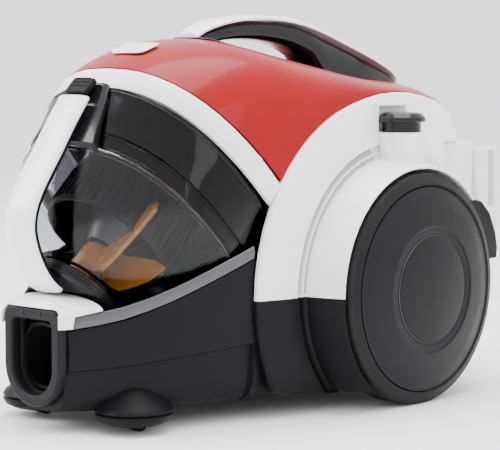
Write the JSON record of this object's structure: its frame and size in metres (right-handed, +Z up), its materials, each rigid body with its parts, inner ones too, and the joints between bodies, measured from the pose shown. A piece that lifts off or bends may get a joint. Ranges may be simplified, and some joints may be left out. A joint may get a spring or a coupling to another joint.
{
  "type": "canister vacuum cleaner",
  "caption": "Canister vacuum cleaner: tilted clear dust bin in front, gloss top cover with carry handle, large rear wheels, swivelling front casters, foot buttons and parking brackets.",
  "frame": {"origin": "on the floor, below the middle of the bounding box", "axes": "+Z up, -Y towards the hose inlet at the front, +X to the left side of the machine"},
  "size_m": [0.294, 0.4389, 0.2975],
  "materials": {
    "red": "glossy",
    "white": "glossy",
    "charcoal": "satin",
    "black": "glossy",
    "silver": "metallic satin",
    "wheel_grey": "satin",
    "rubber": "matte",
    "smoke": "smoked transparent",
    "clear": "transparent",
    "amber": "glossy translucent",
    "foam": "soft",
    "motor_metal": "satin",
    "board": "satin"
  },
  "bodies": {
    "main_body": {"lower_case": "charcoal", "case_trim_left": "silver", "case_trim_right": "silver", "hose_inlet_ring": "wheel_grey", "inlet_seal": "rubber", "inlet_duct": "charcoal", "nose_cover": "white", "bin_cradle": "black", "bulkhead": "black", "port_seal": "rubber", "motor_filter": "foam", "front_band": "white", "top_cover": "red", "carry_handle": "black", "handle_top_strip": "white", "handle_base_trim": "silver", "label_plate": "white", "side_panel_left": "white", "side_panel_right": "white", "side_skirt_left": "charcoal", "side_skirt_right": "charcoal", "rear_housing": "white", "rear_cover": "white", "exhaust_grille": "charcoal", "exhaust_filter": "foam", "parking_bracket_left": "white", "parking_bracket_right": "white", "rear_foot_left": "rubber", "rear_foot_right": "rubber", "cord_outlet": "black", "axle_plate_left": "charcoal", "axle_plate_right": "charcoal", "motor": "motor_metal", "motor_mount": "rubber", "circuit_board": "board"},
    "dust_bin": {"bin_lid": "smoke", "bin_bowl": "clear", "bin_seal": "rubber", "handle_mount": "black", "bin_handle": "white", "bin_handle_lining": "black", "cyclone_body": "charcoal", "cyclone_cone": "silver", "bin_base": "black", "fixed_plate": "amber"},
    "press_blade": {"press_blade": "amber"},
    "latch_lever": {"latch_lever": "charcoal"},
    "power_button": {"power_button": "black"},
    "rewind_button": {"rewind_button": "black"},
    "cord_reel": {"cord_reel": "charcoal"},
    "rear_wheel_left": {"tyre_left": "rubber", "wheel_disc_left": "wheel_grey", "hub_cap_left": "wheel_grey"},
    "caster_swivel_left": {"caster_dome_left": "charcoal"},
    "caster_roller_left": {"caster_roller_left": "rubber"},
    "rear_wheel_right": {"tyre_right": "rubber", "wheel_disc_right": "wheel_grey", "hub_cap_right": "wheel_grey"},
    "caster_swivel_right": {"caster_dome_right": "charcoal"},
    "caster_roller_right": {"caster_roller_right": "rubber"}
  },
  "joints": [
    {"name": "wheel_spin_left", "type": "hinge", "parent": "main_body", "child": "rear_wheel_left", "pos_m": [0.122, 0.07, 0.0885], "axis": [1, 0, 0], "continuous": true},
    {"name": "caster_swivel_left", "type": "hinge", "parent": "main_body", "child": "caster_swivel_left", "pos_m": [0.05, -0.155, 0.02], "axis": [0, 0, 1], "continuous": true},
    {"name": "caster_roll_left", "type": "hinge", "parent": "caster_swivel_left", "child": "caster_roller_left", "pos_m": [0.05, -0.152, 0.0065], "axis": [1, 0, 0], "continuous": true},
    {"name": "wheel_spin_right", "type": "hinge", "parent": "main_body", "child": "rear_wheel_right", "pos_m": [-0.122, 0.07, 0.0885], "axis": [1, 0, 0], "continuous": true},
    {"name": "caster_swivel_right", "type": "hinge", "parent": "main_body", "child": "caster_swivel_right", "pos_m": [-0.05, -0.155, 0.02], "axis": [0, 0, 1], "continuous": true},
    {"name": "caster_roll_right", "type": "hinge", "parent": "caster_swivel_right", "child": "caster_roller_right", "pos_m": [-0.05, -0.152, 0.0065], "axis": [1, 0, 0], "continuous": true},
    {"name": "bin_lift", "type": "slide", "parent": "main_body", "child": "dust_bin", "axis": [0, -0.7071, 0.7071], "range_m": [0, 0.12]},
    {"name": "blade_turn", "type": "hinge", "parent": "dust_bin", "child": "press_blade", "pos_m": [0, -0.15082, 0.11218], "axis": [0, -0.7071, -0.7071], "range_deg": [-12, 300]},
    {"name": "latch_press", "type": "hinge", "parent": "dust_bin", "child": "latch_lever", "pos_m": [0, -0.15152, 0.24653], "axis": [1, 0, 0], "range_deg": [0, 8], "stiffness_Nm_per_rad": 0.12},
    {"name": "power_button_press", "type": "slide", "parent": "main_body", "child": "power_button", "axis": [0, 0, -1], "range_m": [0, 0.006], "stiffness_N_per_m": 500},
    {"name": "rewind_button_press", "type": "slide", "parent": "main_body", "child": "rewind_button", "axis": [0, 0, -1], "range_m": [0, 0.006], "stiffness_N_per_m": 500},
    {"name": "reel_spin", "type": "hinge", "parent": "main_body", "child": "cord_reel", "pos_m": [-0.052, 0.068, 0.092], "axis": [1, 0, 0], "continuous": true}
  ]
}
